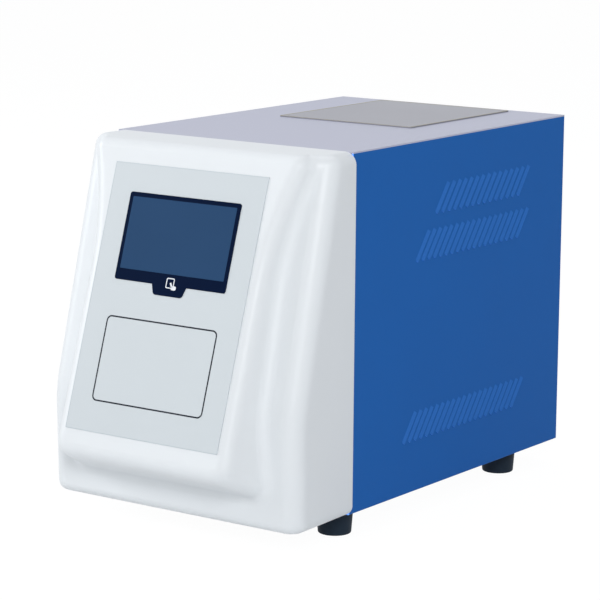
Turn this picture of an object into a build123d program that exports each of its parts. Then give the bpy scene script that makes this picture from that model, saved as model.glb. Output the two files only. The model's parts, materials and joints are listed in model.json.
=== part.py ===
from build123d import *
import math
import os

# Bench control unit of a probe sonicator, in millimetres.
# +Z is up, the display looks towards -Y and +X is to the right of someone facing it.
# The origin is on the bench, under the centre of the overall box.

# Case
case_width = 225.0
case_height = 278.0
case_depth = 312.0
sheet = 1.2
pan_sheet = 1.5
flange = 12.0
bottom_flange = 30.0
flange_relief = 1.0

# Feet
foot_height = 20.0
foot_top_radius = 14.4
foot_base_radius = 12.9
foot_inset = 23.2
foot_front_setback = 14.0
foot_rear_setback = 57.0
foot_counterbore_radius = 5.0
foot_counterbore_depth = 12.0

# Moulded front: shoulders
seam_overhang = 2.8
side_flare = 0.043
chin_reach = 77.8
knee_reach = 79.8
knee_height = 84.0
shoulder_reach = 30.6
knee_radius = 110.0
shoulder_corner_radius = 14.0
front_wall = 3.0
front_top_wall = 6.0
top_edge_radius = 10.0
bottom_edge_radius = 8.0

# Moulded front: raised pod
pod_tilt = 17.7
lip_reach = 119.4
lip_height = 44.2
pod_inset = 32.0
pod_straight = 140.0
pod_flare = 31.0
pod_wall_slope = 0.30
pod_lip_slope = 0.14
pod_corner_radius = 14.0
pod_edge_radius = 11.0
pod_foot_radius = 10.0

# Label and display, measured along the face of the pod
label_margin = 8.0
label_height = 207.3
label_low = 20.3
label_film = 0.5
window_width = 105.4
window_height = 67.7
window_low = 138.0
window_thickness = 0.9
window_corner = 2.0
tab_width = 33.0
tab_drop = 8.0
tab_taper = 3.0
window_clearance = 0.1
screen_opening_width = 100.0
screen_opening_height = 58.0
lcd_width = 105.5
lcd_height = 67.2
lcd_thickness = 5.0
bracket_margin = 12.0
bracket_border = 16.0

# Bosses of the moulded front
boss_radius = 4.5
boss_pilot_radius = 1.3
display_boss_radius = 3.5
boss_inset_low = 19.5
boss_inset_mid = 14.5
boss_inset_high = 22.5
boss_height_low = 20.0
boss_height_mid = 132.0
boss_height_high = 256.0

# Plate on the top cover
plate_width = 129.0
plate_length = 152.0
plate_setback = 150.0
plate_thickness = 1.0
plate_corner = 1.5

# Slanted vent slots of the side panels
slot_rise = 22.3
slot_lean = 16.9
slot_width = 1.5
louvre_rise = 1.0
louvre_lead = 1.8
louvre_lip = 0.5
high_slots = 15
high_slot_start = 116.0
high_slot_height = 218.4
high_slot_pitch = 8.76
middle_slots = 19
middle_slot_start = 89.0
middle_slot_height = 183.5
middle_slot_pitch = 8.3
low_slots = 21
low_slot_start = 73.5
low_slot_height = 41.4
low_slot_pitch = 8.1

# Screws
screw_radius = 1.5
screw_head_radius = 2.9
screw_head_height = 1.8
screw_clearance = 0.25

# Fan in the rear panel
fan_size = 80.0
fan_thickness = 25.0
fan_hole_pitch = 71.5
fan_bore_radius = 38.0
fan_wall_corner = 4.0
fan_hub_radius = 18.5
fan_motor_radius = 16.0
fan_motor_length = 7.0
fan_blade_count = 7
fan_blade_clearance = 1.2
fan_blade_thickness = 1.6
fan_blade_pitch = 38.0
fan_shaft_radius = 1.5
fan_centre_x = -48.0
fan_centre_height = 190.0
fan_strut_width = 5.0
guard_wire_width = 2.2
guard_thickness = 1.6
guard_ring_step = 9.0
guard_standoff = 3.0

# Mains inlet with fuse drawer and rocker
inlet_x = 70.0
inlet_centre_height = 62.0
inlet_flange_width = 50.0
inlet_flange_height = 62.0
inlet_flange_thickness = 3.0
inlet_body_width = 28.0
inlet_body_height = 54.0
inlet_body_depth = 27.0
inlet_corner = 3.0
inlet_screw_pitch = 40.0
inlet_mouth_width = 24.4
inlet_mouth_height = 16.4
inlet_mouth_depth = 16.5
inlet_pin_width = 2.0
inlet_pin_height = 4.0
inlet_pin_length = 11.0
inlet_pin_pitch = 14.0
inlet_pin_offset = 2.0
inlet_mouth_offset = -1.0
panel_fit = 0.3
rocker_offset = 18.5
rocker_width = 19.5
rocker_radius = 6.6
rocker_depth = 4.5
rocker_pivot = 2.0
rocker_tilt = 11.0
rocker_clearance = 0.4
rocker_pin_radius = 1.2
rocker_pin_reach = 1.6
drawer_offset = -19.0
drawer_width = 22.0
drawer_height = 10.0
drawer_depth = 23.0
drawer_clearance = 0.2
drawer_lip = 1.4
fuse_radius = 2.5
fuse_length = 20.0
bearing_clearance = 0.1

# Round sockets
output_x = 66.0
output_centre_height = 190.0
output_shell_radius = 10.0
output_reach = 14.0
output_flange_radius = 14.0
output_pin_count = 4
output_pin_radius = 1.2
sensor_x = 66.0
sensor_centre_height = 145.0
sensor_shell_radius = 6.0
sensor_reach = 10.0
sensor_flange_radius = 8.5
sensor_pin_count = 3
sensor_pin_radius = 0.7
socket_wall = 1.2
socket_flange_thickness = 2.5
socket_tail = 9.0
socket_nut_thickness = 3.0
socket_nut_margin = 3.0
socket_pin_recess = 5.0

# Earth terminal
earth_x = 20.0
earth_centre_height = 62.0
earth_stud_radius = 2.0
earth_stud_reach = 12.0
earth_nut_radius = 4.0
earth_nut_thickness = 3.2

# Boards and what they carry
board_thickness = 1.6
control_board_width = 130.0
control_board_height = 90.0
control_board_height_above_floor = 120.0
control_standoff = 8.0
driver_board_length = 150.0
driver_board_setback = 60.0
driver_standoff = 10.0
standoff_radius = 3.0
board_edge = 6.0
sink_length = 110.0
sink_height = 55.0
sink_base = 4.0
sink_fin_length = 14.0
sink_fin_count = 8
sink_fin_thickness = 1.6
sink_spacing = 62.0
wall_gap = 6.3
board_gap = 2.0
capacitor_radius = 12.0
capacitor_height = 40.0
capacitor_count = 3
transistor_width = 15.9
transistor_height = 20.0
transistor_thickness = 5.0
transistor_count = 3
supply_width = 98.0
supply_length = 159.0
supply_height = 38.0
supply_setback = 30.0
core_width = 65.0
core_height = 64.0
core_thickness = 27.0
core_leg = 14.0
coil_radius = 15.0
transformer_x = -40.0
transformer_setback = 250.0
toroid_radius = 24.0
toroid_hole_radius = 12.0
toroid_height = 18.0
winding_build = 4.0
toroid_x = 38.0
toroid_setback = 262.0

# Values worked out from the sizes above
tilt = math.radians(pod_tilt)
lip_turn = math.pi / 2 - math.atan(pod_lip_slope)
lip_flat_start = pod_edge_radius * math.tan(lip_turn / 2)
front_reach = lip_reach - lip_flat_start * math.sin(tilt) + pod_edge_radius * (1 - math.cos(tilt))
rear_reach = case_depth + max(output_reach, sensor_reach, earth_stud_reach)
seam_y = (front_reach - rear_reach) / 2
rear_y = seam_y + case_depth
panel_inner_y = rear_y - sheet
case_z = foot_height
top_z = case_z + case_height
floor_z = case_z + sheet + pan_sheet
inner_half = case_width / 2 - sheet
bulkhead_y = seam_y + sheet
bulkhead_back_y = bulkhead_y + sheet
seam_half = case_width / 2 + seam_overhang
foot_spread = case_width - 2 * foot_inset
pod_width = case_width - 2 * pod_inset
label_width = pod_width - 2 * label_margin
supply_x = inner_half - wall_gap - supply_width / 2
driver_board_width = 2 * inner_half - supply_width - 2 * wall_gap - board_gap
driver_board_x = driver_board_width / 2 + wall_gap - inner_half

pod_plane = Plane(
    origin=(0, seam_y - lip_reach, case_z + lip_height),
    x_dir=(1, 0, 0),
    z_dir=(0, -math.cos(tilt), math.sin(tilt)),
)


def middle(edge):
    return edge.position_at(0.5)


def touches(point, faces, tolerance=0.02):
    """True where a point lies on one of the faces."""
    spot = Vertex(point.X, point.Y, point.Z)
    return any(spot.distance_to(face) < tolerance for face in faces)


def block(width, depth, height, x=0.0, y=0.0, z=0.0):
    """Box centred on x, from y backwards and from z upwards."""
    return Pos(x, y + depth / 2, z + height / 2) * Box(width, depth, height)


def rod(radius, length, start, direction):
    """Cylinder from a start point along a direction."""
    plane = Plane(origin=start, z_dir=direction)
    return plane * extrude(Circle(radius), length)


def screw(seat, direction, length, head_radius=screw_head_radius, shank_radius=screw_radius):
    """Pan head screw: its head stands on the seat, its shank runs along the direction."""
    plane = Plane(origin=seat, z_dir=direction)
    head = plane * extrude(Circle(head_radius), -screw_head_height)
    rim = head.edges().filter_by(GeomType.CIRCLE).sort_by_distance(plane.origin)[-1]
    head = fillet(rim, screw_head_height * 0.4)
    return head + plane * extrude(Circle(shank_radius), length)


def group(pieces):
    """Several separate solids that share one node."""
    return Compound(children=list(pieces))


# Moulded front

def front_profile(inset):
    """Side outline of the shoulders: an upright chin, a soft knee and a leaning face."""
    outline = make_face(Polyline(
        (sheet, inset),
        (-(chin_reach - inset), inset),
        (-(knee_reach - inset), knee_height),
        (-(shoulder_reach - inset), case_height - inset),
        (sheet, case_height - inset),
        close=True,
    ))
    knee = outline.vertices().sort_by_distance((-(knee_reach - inset), knee_height, 0))[0]
    return fillet(knee, knee_radius - inset)


def front_plan(inset, depth):
    """Plan outline: the sides flare a little towards the front."""
    half = seam_half - inset
    wide = half + depth * side_flare
    back = half - sheet * side_flare
    return make_face(Polyline(
        (back, sheet), (wide, -depth), (-wide, -depth), (-back, sheet), close=True,
    ))


def shoulder_form(inset):
    depth = lip_reach + pod_edge_radius
    form = extrude(Plane.YZ * front_profile(inset), seam_half * 1.3, both=True)
    form = form & extrude(front_plan(inset, depth), case_height)
    corners = [
        edge for edge in form.edges()
        if middle(edge).Y < -shoulder_reach / 2
        and abs(middle(edge).X) > seam_half * 0.9
        and abs((edge @ 1 - edge @ 0).normalized().Z) > 0.9
    ]
    return fillet(corners, shoulder_corner_radius - inset)


def pod_outline(half, bottom, top):
    """Outline of the pod: upright sides that flare out in an arc towards the top."""
    right = [
        Line((half, bottom), (half, pod_straight)),
        TangentArc((half, pod_straight), (half + pod_flare, top), tangent=(0, 1)),
    ]
    left = [
        Line((-half, bottom), (-half, pod_straight)),
        TangentArc((-half, pod_straight), (-half - pod_flare, top), tangent=(0, 1)),
    ]
    top_line = Line((half + pod_flare, top), (-half - pod_flare, top))
    bottom_line = Line((-half, bottom), (half, bottom))
    return make_face(Curve() + [*right, top_line, *left, bottom_line])


def pod_form(inset):
    """Raised pod with drafted sides and a lip that turns under."""
    local = Plane(
        origin=(0, -lip_reach, lip_height), x_dir=(1, 0, 0), z_dir=pod_plane.z_dir)
    top = (case_height - lip_height + pod_edge_radius * 2) / math.cos(tilt)
    depth = lip_reach - shoulder_reach
    half = pod_width / 2 - inset
    face = local.offset(-inset) * pod_outline(half, inset, top)
    root = local.offset(-depth) * pod_outline(
        half + depth * pod_wall_slope, inset - depth * pod_lip_slope, top)
    form = loft([face.faces()[0], root.faces()[0]], ruled=True)
    lip = local.offset(-inset).origin
    lip_corners = [
        edge for edge in form.edges()
        if (middle(edge) - lip).Z < 0 and abs(middle(edge).X) > half
    ]
    form = fillet(lip_corners, pod_corner_radius - inset)
    front = form.faces().sort_by(Axis((0, 0, 0), tuple(local.z_dir)))[-1]
    rim = [edge for edge in front.edges() if middle(edge).Z < case_height]
    return fillet(rim, pod_edge_radius - inset)


def front_form():
    """Outer form of the moulded front, with the pod blended into the shoulders."""
    shoulders = shoulder_form(0)
    trim = extrude(front_plan(0, lip_reach + pod_edge_radius), case_height)
    pod = pod_form(0) & trim
    form = shoulders + pod
    shoulder_faces = shoulders.faces()
    pod_faces = pod.faces()
    foot = [
        edge for edge in form.edges()
        if middle(edge).Z < case_height - 1 and middle(edge).Y < -1
        and touches(middle(edge), shoulder_faces) and touches(middle(edge), pod_faces)
    ]
    form = fillet(foot, pod_foot_radius)
    top = [
        edge for edge in form.edges()
        if abs(middle(edge).Z - case_height) < 0.01 and middle(edge).Y < sheet / 2
    ]
    form = fillet(top, top_edge_radius)
    bottom = [
        edge for edge in form.edges()
        if abs(middle(edge).Z) < 0.01 and middle(edge).Y < sheet / 2
    ]
    return fillet(bottom, bottom_edge_radius)


def front_bezel():
    outer = front_form()
    behind = block(case_width * 2, case_depth, case_height, y=0)
    outer = outer - behind
    trim = extrude(front_plan(front_wall, lip_reach + pod_edge_radius), case_height - front_top_wall)
    hollow = (shoulder_form(front_wall) & trim) + (pod_form(front_wall) & trim)
    shell = outer - hollow
    for spread, height in boss_places():
        for side in (-1, 1):
            at = (side * spread / 2, 0, height)
            boss = rod(boss_radius, knee_reach, at, (0, -1, 0)) & outer
            shell = shell + boss - rod(boss_pilot_radius, shoulder_reach * 0.5, at, (0, -1, 0))
    shell = Pos(0, seam_y, case_z) * shell
    opening = extrude(Rectangle(screen_opening_width, screen_opening_height), front_wall * 6, both=True)
    shell = shell - pod_plane * (Pos(0, screen_centre(), 0) * opening)
    for x, v in display_boss_places():
        boss = Pos(x, v, -front_wall - lcd_thickness) * extrude(
            Circle(display_boss_radius), lcd_thickness + front_wall / 2)
        pilot = Pos(x, v, -front_wall - lcd_thickness) * extrude(
            Circle(boss_pilot_radius), lcd_thickness)
        shell = shell + pod_plane * boss - pod_plane * pilot
    return shell


def boss_places():
    return [
        (case_width - 2 * boss_inset_low, boss_height_low),
        (case_width - 2 * boss_inset_mid, boss_height_mid),
        (case_width - 2 * boss_inset_high, boss_height_high),
    ]


def screen_centre():
    return window_low + window_height / 2


def display_boss_places():
    half_x = lcd_width / 2 + bracket_margin / 2
    half_v = lcd_height / 2 - bracket_margin / 2
    return [(x, screen_centre() + v) for x in (-half_x, half_x) for v in (-half_v, half_v)]


def window_outline(grow):
    """Dark border of the display with the tab below it."""
    body = Pos(0, screen_centre()) * RectangleRounded(
        window_width + 2 * grow, window_height + 2 * grow, window_corner + grow)
    low = window_low - tab_drop - grow
    half_top = tab_width / 2 + grow
    half_low = tab_width / 2 - tab_taper + grow
    tab = make_face(Polyline(
        (-half_top, window_low + 1), (half_top, window_low + 1),
        (half_low, low), (-half_low, low), close=True,
    ))
    ends = tab.vertices().sort_by(Axis.Y)[:2]
    return body + fillet(ends, tab_taper)


def front_label():
    film = Pos(0, label_low + label_height / 2) * Rectangle(label_width, label_height)
    return pod_plane * extrude(film - window_outline(window_clearance), label_film)


def display_window():
    return pod_plane * extrude(window_outline(0), window_thickness)


def lcd_module():
    body = Pos(0, screen_centre(), -front_wall - lcd_thickness) * extrude(
        Rectangle(lcd_width, lcd_height), lcd_thickness)
    return pod_plane * body


def display_bracket():
    width = lcd_width + 2 * bracket_margin
    plate = Rectangle(width, lcd_height)
    plate = plate - Rectangle(width - 2 * bracket_border, lcd_height - 2 * bracket_border)
    plate = Pos(0, screen_centre()) * plate
    for x, v in display_boss_places():
        plate = plate - Pos(x, v) * Circle(screw_radius + screw_clearance)
    return pod_plane * (Pos(0, 0, -front_wall - lcd_thickness - sheet) * extrude(plate, sheet))


def display_screws():
    seat = -front_wall - lcd_thickness - sheet
    inwards = pod_plane.z_dir
    pieces = []
    for x, v in display_boss_places():
        at = pod_plane.from_local_coords(Vector(x, v, seat))
        pieces.append(screw(at, inwards, lcd_thickness, shank_radius=boss_pilot_radius))
    return group(pieces)


# Sheet metal case

def slot_rows():
    return [
        (high_slots, high_slot_start, high_slot_height, high_slot_pitch),
        (middle_slots, middle_slot_start, middle_slot_height, middle_slot_pitch),
        (low_slots, low_slot_start, low_slot_height, low_slot_pitch),
    ]


def slot_centres():
    """Middle of each slot as (setback, height) on the plane of the side panel."""
    return [
        (start + slot_lean / 2 + index * pitch, height + slot_rise / 2)
        for count, start, height, pitch in slot_rows() for index in range(count)
    ]


def slot_length():
    return math.hypot(slot_rise, slot_lean)


def slot_angle():
    return math.degrees(math.atan2(slot_rise, slot_lean))


def vent_slots():
    slots = Sketch()
    for centre in slot_centres():
        slots += Pos(*centre) * (Rot(0, 0, slot_angle()) * Rectangle(slot_length(), slot_width))
    return slots


def louvres():
    """Lanced lips that lean out over the slots from their front edges and open to the rear."""
    half = slot_width / 2
    section = make_face(Polyline(
        (half + louvre_lead, -sheet / 2), (half + louvre_lead, 0),
        (-half, louvre_rise), (-half, louvre_rise - louvre_lip),
        (half + sheet / 4, -sheet / 2), close=True,
    ))
    lip = extrude(Plane.YZ * section, slot_length() / 2, both=True)
    wall = Plane(origin=(case_width / 2, 0, 0), x_dir=(0, 1, 0), z_dir=(1, 0, 0))
    return [
        wall * (Pos(*centre) * (Rot(0, 0, slot_angle()) * lip)) for centre in slot_centres()
    ]


def side_panel(side):
    """Blue panel with flanges turned inwards on all four edges."""
    wall_height = case_height - sheet
    height = wall_height - flange_relief * 2
    wall = block(sheet, case_depth, wall_height, x=inner_half + sheet / 2)
    top_x = inner_half - flange / 2
    low_x = inner_half - bottom_flange / 2
    top = block(flange, case_depth - 4 * sheet, sheet, x=top_x, y=2 * sheet, z=wall_height - sheet)
    bottom = block(bottom_flange, case_depth, sheet, x=low_x)
    front = block(flange, sheet, height, x=top_x, z=flange_relief)
    rear = block(flange, sheet, height, x=top_x, y=case_depth - 2 * sheet, z=flange_relief)
    panel = wall + top + bottom + front + rear
    bends = [
        edge for edge in panel.edges()
        if abs(middle(edge).X - case_width / 2) < 0.01
        and abs(middle(edge).Z) < 0.01
    ]
    panel = fillet(bends, sheet * 0.8)
    cutter = extrude(Plane.YZ * vent_slots(), case_width)
    panel = (panel - cutter).fuse(*louvres())
    for y in flange_screw_setbacks():
        panel = panel - rod(screw_radius + screw_clearance, sheet * 3, (screw_line(), y, -sheet), (0, 0, 1))
    for y in foot_setbacks():
        hole = rod(screw_radius + screw_clearance, sheet * 3, (foot_spread / 2, y, -sheet), (0, 0, 1))
        panel = panel - hole
    for z in rear_screw_heights():
        at = (screw_line(), case_depth, z - case_z)
        panel = panel - rod(screw_radius + screw_clearance, sheet * 3, at, (0, -1, 0))
    if side < 0:
        panel = panel.mirror(Plane.YZ)
    return Pos(0, seam_y, case_z) * panel


def screw_line():
    """Distance of the flange screws from the middle of the case."""
    return inner_half - flange / 2


def flange_screw_setbacks():
    return [foot_front_setback + foot_top_radius, case_depth - foot_rear_setback - foot_top_radius * 1.6]


def foot_setbacks():
    return [foot_front_setback, case_depth - foot_rear_setback]


def rear_screw_heights():
    rise = case_height / 8
    return [case_z + rise, case_z + case_height / 2, case_z + case_height - rise]


def base_pan():
    width = 2 * inner_half - 2 * panel_fit
    depth = case_depth - 4 * sheet
    pan = block(width, depth, pan_sheet, y=seam_y + 2 * sheet, z=case_z + sheet)
    lip_y = (seam_y + 2 * sheet, seam_y + 2 * sheet + depth - pan_sheet)
    for y in lip_y:
        pan = pan + block(width - 4 * flange, pan_sheet, flange, y=y, z=case_z + sheet)
    drill = screw_radius + screw_clearance
    for side in (-1, 1):
        for y in flange_screw_setbacks():
            at = (side * screw_line(), seam_y + y, case_z)
            pan = pan - rod(drill, flange, at, (0, 0, 1))
        for y in foot_setbacks():
            pan = pan - rod(drill, flange, (side * foot_spread / 2, seam_y + y, case_z), (0, 0, 1))
    return pan


def top_cover():
    return block(case_width, case_depth, sheet, y=seam_y, z=top_z - sheet)


def top_plate():
    face = RectangleRounded(plate_width, plate_length, plate_corner)
    centre = (0, seam_y + plate_setback + plate_length / 2, top_z)
    return Pos(*centre) * extrude(face, plate_thickness)


def front_bulkhead():
    """Sheet behind the moulded front, with a cable opening and a turned-back lower edge."""
    width = 2 * inner_half - 2 * panel_fit
    low = floor_z
    height = top_z - 2 * sheet - low
    plate = block(width, sheet, height, y=bulkhead_y, z=low)
    opening = block(width * 0.45, flange, height * 0.16, y=bulkhead_y - sheet, z=low + height * 0.66)
    edges = [edge for edge in opening.edges() if abs((edge @ 1 - edge @ 0).normalized().Y) > 0.9]
    plate = plate - fillet(edges, flange / 2)
    for spread, height_up in boss_places():
        for side in (-1, 1):
            at = (side * spread / 2, bulkhead_y - sheet, case_z + height_up)
            plate = plate - rod(screw_radius + screw_clearance, sheet * 3, at, (0, 1, 0))
    return plate


def bezel_screws():
    pieces = []
    for spread, height in boss_places():
        for side in (-1, 1):
            at = (side * spread / 2, bulkhead_back_y, case_z + height)
            pieces.append(screw(at, (0, -1, 0), flange, shank_radius=boss_pilot_radius))
    return group(pieces)


def flange_screws():
    pieces = []
    for side in (-1, 1):
        for y in flange_screw_setbacks():
            at = (side * screw_line(), seam_y + y, case_z)
            pieces.append(screw(at, (0, 0, 1), sheet + pan_sheet + screw_radius * 2))
    return group(pieces)


def rear_screws():
    pieces = []
    for side in (-1, 1):
        for z in rear_screw_heights():
            at = (side * screw_line(), rear_y, z)
            pieces.append(screw(at, (0, -1, 0), sheet * 4))
    return group(pieces)


def foot(side, setback):
    cone = Cone(foot_base_radius, foot_top_radius, foot_height, align=(Align.CENTER, Align.CENTER, Align.MIN))
    ground_edge = cone.edges().filter_by(GeomType.CIRCLE).sort_by(Axis.Z)[0]
    cone = fillet(ground_edge, 1.2)
    well = rod(foot_counterbore_radius, foot_counterbore_depth, (0, 0, 0), (0, 0, 1))
    hole = rod(screw_radius + screw_clearance, foot_height, (0, 0, 0), (0, 0, 1))
    return Pos(side * foot_spread / 2, seam_y + setback, 0) * (cone - well - hole)


def foot_screws():
    length = foot_height - foot_counterbore_depth + sheet + pan_sheet + screw_radius * 2
    pieces = []
    for side in (-1, 1):
        for setback in foot_setbacks():
            at = (side * foot_spread / 2, seam_y + setback, foot_counterbore_depth)
            pieces.append(screw(at, (0, 0, 1), length, head_radius=foot_counterbore_radius * 0.8))
    return group(pieces)


def rear_panel():
    width = 2 * inner_half - 2 * panel_fit
    low = floor_z
    height = top_z - 2 * sheet - low
    panel = block(width, sheet, height, y=panel_inner_y, z=low)
    cuts = [through((fan_centre_x, fan_z()), fan_bore_radius)]
    for dx in (-1, 1):
        for dz in (-1, 1):
            spot = (fan_centre_x + dx * fan_hole_pitch / 2, fan_z() + dz * fan_hole_pitch / 2)
            cuts.append(through(spot, screw_radius + screw_clearance))
        spot = (inlet_x + dx * inlet_screw_pitch / 2, inlet_z())
        cuts.append(through(spot, screw_radius + screw_clearance))
    cuts.append(through((output_x, case_z + output_centre_height), output_shell_radius + panel_fit))
    cuts.append(through((sensor_x, case_z + sensor_centre_height), sensor_shell_radius + panel_fit))
    cuts.append(through((earth_x, case_z + earth_centre_height), earth_stud_radius + panel_fit / 3))
    for side in (-1, 1):
        for z in rear_screw_heights():
            cuts.append(through((side * screw_line(), z), screw_radius + screw_clearance))
    for cut in cuts:
        panel = panel - cut
    body = block(
        inlet_body_width + 2 * panel_fit, sheet * 3, inlet_body_height + 2 * panel_fit,
        x=inlet_x, y=panel_inner_y - sheet, z=inlet_z() - inlet_body_height / 2 - panel_fit)
    return panel - body


def through(spot, radius):
    """Round hole cutter through the rear panel at (x, z)."""
    return rod(radius, sheet * 3, (spot[0], rear_y + sheet, spot[1]), (0, -1, 0))


# Fan

def fan_z():
    return case_z + fan_centre_height


def fan_plane(distance):
    """Plane across the fan's axis, facing the inside, at a distance in from the rear panel."""
    origin = (fan_centre_x, panel_inner_y - distance, fan_z())
    return Plane(origin=origin, x_dir=(1, 0, 0), z_dir=(0, -1, 0))


def fan_frame():
    outline = RectangleRounded(fan_size, fan_size, fan_wall_corner) - Circle(fan_bore_radius)
    for x in (-fan_hole_pitch / 2, fan_hole_pitch / 2):
        for y in (-fan_hole_pitch / 2, fan_hole_pitch / 2):
            outline -= Pos(x, y) * Circle(screw_radius + screw_clearance)
    frame = fan_plane(0) * extrude(outline, fan_thickness)
    struts = Circle(fan_motor_radius)
    for turn in (45, 135):
        bar = Rot(0, 0, turn) * Rectangle(fan_bore_radius * 2 + 1, fan_strut_width)
        struts += bar
    struts -= Circle(fan_shaft_radius + bearing_clearance)
    base = fan_plane(fan_thickness - fan_motor_length / 2) * extrude(struts, fan_motor_length / 2)
    motor = Circle(fan_motor_radius) - Circle(fan_shaft_radius + bearing_clearance)
    stator = fan_plane(fan_thickness - fan_motor_length) * extrude(motor, fan_motor_length)
    return frame + base + stator


def fan_blade(inner, outer, length):
    """One pitched blade, from inside the hub to near the bore."""
    chord = length / math.cos(math.radians(fan_blade_pitch))
    section = Rot(0, 0, fan_blade_pitch) * Rectangle(fan_blade_thickness, chord)
    root = Plane(origin=(0, inner, 0), x_dir=(1, 0, 0), z_dir=(0, 1, 0)) * section
    lean = Rot(0, 0, fan_blade_pitch * 1.35) * Rectangle(fan_blade_thickness, chord)
    tip = Plane(origin=(0, outer, 0), x_dir=(1, 0, 0), z_dir=(0, 1, 0)) * lean
    return loft([root.faces()[0], tip.faces()[0]], ruled=True)


def fan_rotor():
    length = fan_thickness - fan_motor_length - 3 * fan_blade_clearance
    start = fan_blade_clearance * 1.5
    hub = extrude(Circle(fan_hub_radius), length)
    rim = hub.edges().filter_by(GeomType.CIRCLE).sort_by(Axis.Z)[0]
    hub = fillet(rim, 2)
    reach = fan_bore_radius - fan_blade_clearance
    keep = extrude(Circle(reach), length)
    blades = []
    for index in range(fan_blade_count):
        blade = Pos(0, 0, length / 2) * fan_blade(fan_hub_radius - 2, fan_bore_radius, length)
        blades.append(Rot(0, 0, index * 360 / fan_blade_count) * (blade & keep))
    rotor = hub
    for blade in blades:
        rotor = rotor + blade
    shaft = Pos(0, 0, length / 2) * extrude(Circle(fan_shaft_radius), fan_thickness - start - length / 2)
    return fan_plane(start) * (rotor + shaft)


def fan_guard():
    """Stamped finger guard: rings on two crossed bars, standing off the rear panel on four eyes."""
    plane = Plane(origin=(fan_centre_x, rear_y, fan_z()), x_dir=(-1, 0, 0), z_dir=(0, 1, 0))
    reach = math.hypot(fan_hole_pitch, fan_hole_pitch)
    grille = Rectangle(guard_wire_width * 1.5, reach)
    grille = Rot(0, 0, 45) * grille + Rot(0, 0, -45) * grille
    radius = fan_bore_radius
    while radius > guard_ring_step:
        grille += Circle(radius) - Circle(radius - guard_wire_width)
        radius -= guard_ring_step
    eyes = Sketch()
    holes = Sketch()
    for x in (-fan_hole_pitch / 2, fan_hole_pitch / 2):
        for y in (-fan_hole_pitch / 2, fan_hole_pitch / 2):
            eyes += Pos(x, y) * Circle(screw_head_radius + 1)
            holes += Pos(x, y) * Circle(screw_radius + screw_clearance)
    height = guard_standoff + guard_thickness
    guard = Pos(0, 0, guard_standoff) * extrude(grille + eyes, guard_thickness)
    return plane * (guard + extrude(eyes, guard_standoff) - extrude(holes, height))


def fan_screws():
    pieces = []
    seat = rear_y + guard_standoff + guard_thickness
    length = seat - panel_inner_y + fan_thickness + screw_radius
    for x in (-fan_hole_pitch / 2, fan_hole_pitch / 2):
        for z in (-fan_hole_pitch / 2, fan_hole_pitch / 2):
            pieces.append(screw((fan_centre_x + x, seat, fan_z() + z), (0, -1, 0), length))
    return group(pieces)


# Mains inlet

def inlet_z():
    return case_z + inlet_centre_height


def inlet_plane(proud=0.0):
    """Plane on the rear panel at the middle of the inlet, facing outwards."""
    origin = (inlet_x, rear_y + proud, inlet_z())
    return Plane(origin=origin, x_dir=(-1, 0, 0), z_dir=(0, 1, 0))


def mouth_outline(grow=0.0):
    """Mains socket outline: a rectangle with two cut corners."""
    face = Rectangle(inlet_mouth_width + 2 * grow, inlet_mouth_height + 2 * grow)
    return chamfer(face.vertices().sort_by(Axis.Y)[-2:], inlet_corner)


def inlet_housing():
    flange_face = RectangleRounded(inlet_flange_width, inlet_flange_height, inlet_corner)
    for side in (-1, 1):
        flange_face -= Pos(side * inlet_screw_pitch / 2, 0) * Circle(screw_radius + screw_clearance)
    housing = extrude(flange_face, inlet_flange_thickness)
    housing += extrude(Rectangle(inlet_body_width, inlet_body_height), -inlet_body_depth)
    face = inlet_flange_thickness
    mouth = Pos(0, inlet_mouth_offset, face) * extrude(mouth_outline(), -inlet_mouth_depth)
    room = rocker_radius + rocker_clearance
    well = Rectangle(rocker_width + 2 * rocker_clearance, 2 * room)
    well = Pos(0, rocker_offset, face) * extrude(well, -rocker_pivot - room)
    bay = Rectangle(drawer_width + 2 * drawer_clearance, drawer_height + 2 * drawer_clearance)
    bay = Pos(0, drawer_offset, face) * extrude(bay, -drawer_depth - drawer_clearance)
    housing = housing - mouth - well - bay
    journal = Cylinder(
        rocker_pin_radius + bearing_clearance, rocker_width + 2 * (rocker_pin_reach + rocker_clearance))
    journal = Pos(0, rocker_offset, face - rocker_pivot) * (Rot(0, 90, 0) * journal)
    return inlet_plane() * (housing - journal)


def inlet_pins():
    """Three flat blades: two below and the earth blade above."""
    spots = [
        (-inlet_pin_pitch / 2, inlet_mouth_offset - inlet_pin_offset),
        (inlet_pin_pitch / 2, inlet_mouth_offset - inlet_pin_offset),
        (0, inlet_mouth_offset + inlet_pin_offset),
    ]
    floor_depth = inlet_flange_thickness - inlet_mouth_depth
    pieces = []
    for x, z in spots:
        blade = Pos(x, z, floor_depth) * extrude(
            Rectangle(inlet_pin_width, inlet_pin_height), inlet_pin_length)
        pieces.append(inlet_plane() * blade)
    return group(pieces)


def power_rocker():
    """Rocker with its pivot pins, lying with its upper half pressed."""
    rise = rocker_radius * math.tan(math.radians(rocker_tilt))
    below_face = make_face(Polyline(
        (-rocker_radius, -rocker_depth), (rocker_radius, -rocker_depth),
        (rocker_radius, rocker_pivot + rise), (0, rocker_pivot),
        (-rocker_radius, rocker_pivot + rise), close=True,
    ))
    section = Rot(0, 0, -rocker_tilt) * (Circle(rocker_radius) & below_face)
    side_plane = Plane(origin=(-rocker_width / 2, 0, 0), x_dir=(0, 1, 0), z_dir=(1, 0, 0))
    body = extrude(side_plane * section, rocker_width)
    pins = Rot(0, 90, 0) * Cylinder(rocker_pin_radius, rocker_width + 2 * rocker_pin_reach)
    place = Pos(0, rocker_offset, inlet_flange_thickness - rocker_pivot)
    return inlet_plane() * (place * (body + pins))


def drawer_place():
    """The drawer rests on the floor of its bay."""
    return Pos(0, drawer_offset - drawer_clearance, inlet_flange_thickness)


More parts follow.
